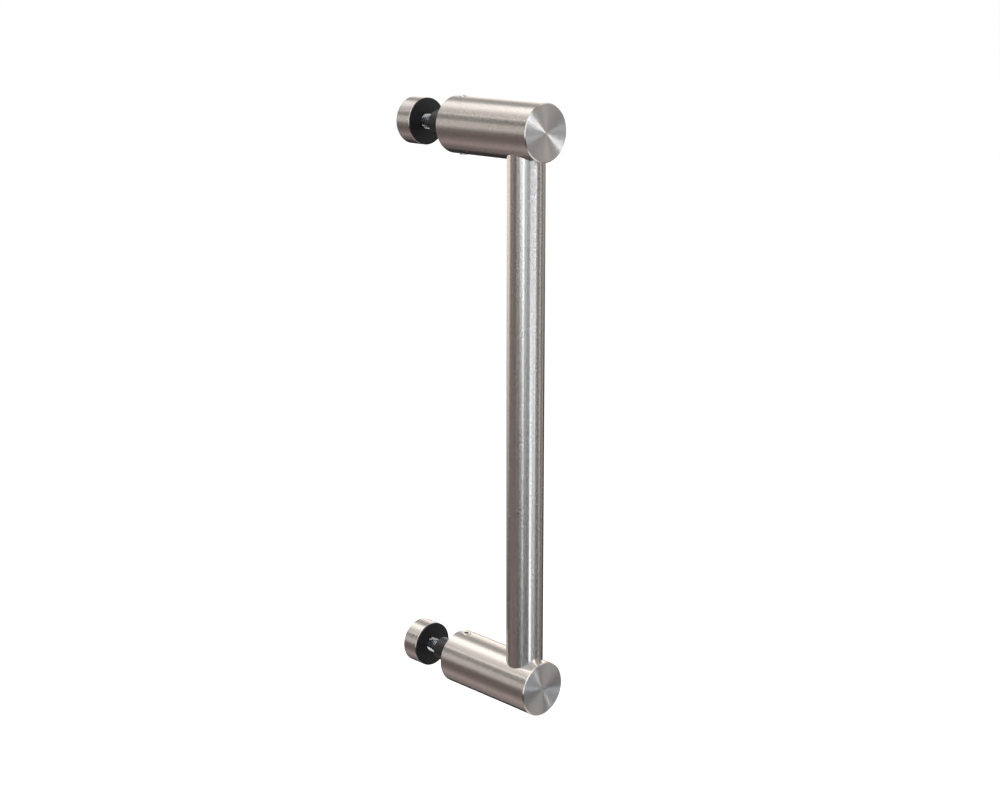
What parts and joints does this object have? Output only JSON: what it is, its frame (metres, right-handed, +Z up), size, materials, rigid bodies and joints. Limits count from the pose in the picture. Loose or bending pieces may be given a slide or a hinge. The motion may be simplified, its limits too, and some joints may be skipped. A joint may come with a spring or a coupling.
{
  "type": "push-pull door handle",
  "caption": "Round-bar pull handle on round side posts, with the bolts, sleeves, gaskets and caps that clamp it through a glass or panel door.",
  "frame": {"origin": "on the door's near face, midway between the two posts' axes", "axes": "+Z up the grip bar, +Y into the door, -Y towards the person who pulls"},
  "size_m": [0.03, 0.1006, 0.3308],
  "materials": {
    "satin_steel": "satin stainless, fine lengthwise grain, turned end faces",
    "machined_steel": "machined",
    "bright_steel": "bright, rolled threads",
    "black_rubber": "smooth matt",
    "black_plastic": "satin moulded"
  },
  "bodies": {
    "root": {"grip_bar": "satin_steel", "upper_post": "satin_steel", "upper_boss": "machined_steel", "upper_top_grub_screw": "bright_steel", "upper_bottom_grub_screw": "bright_steel", "upper_post_gasket": "black_rubber", "upper_sleeve": "black_plastic", "upper_cap_gasket": "black_rubber", "upper_cap": "satin_steel", "upper_bolt": "bright_steel", "lower_post": "satin_steel", "lower_boss": "machined_steel", "lower_top_grub_screw": "bright_steel", "lower_bottom_grub_screw": "bright_steel", "lower_post_gasket": "black_rubber", "lower_sleeve": "black_plastic", "lower_cap_gasket": "black_rubber", "lower_cap": "satin_steel", "lower_bolt": "bright_steel"}
  },
  "joints": []
}
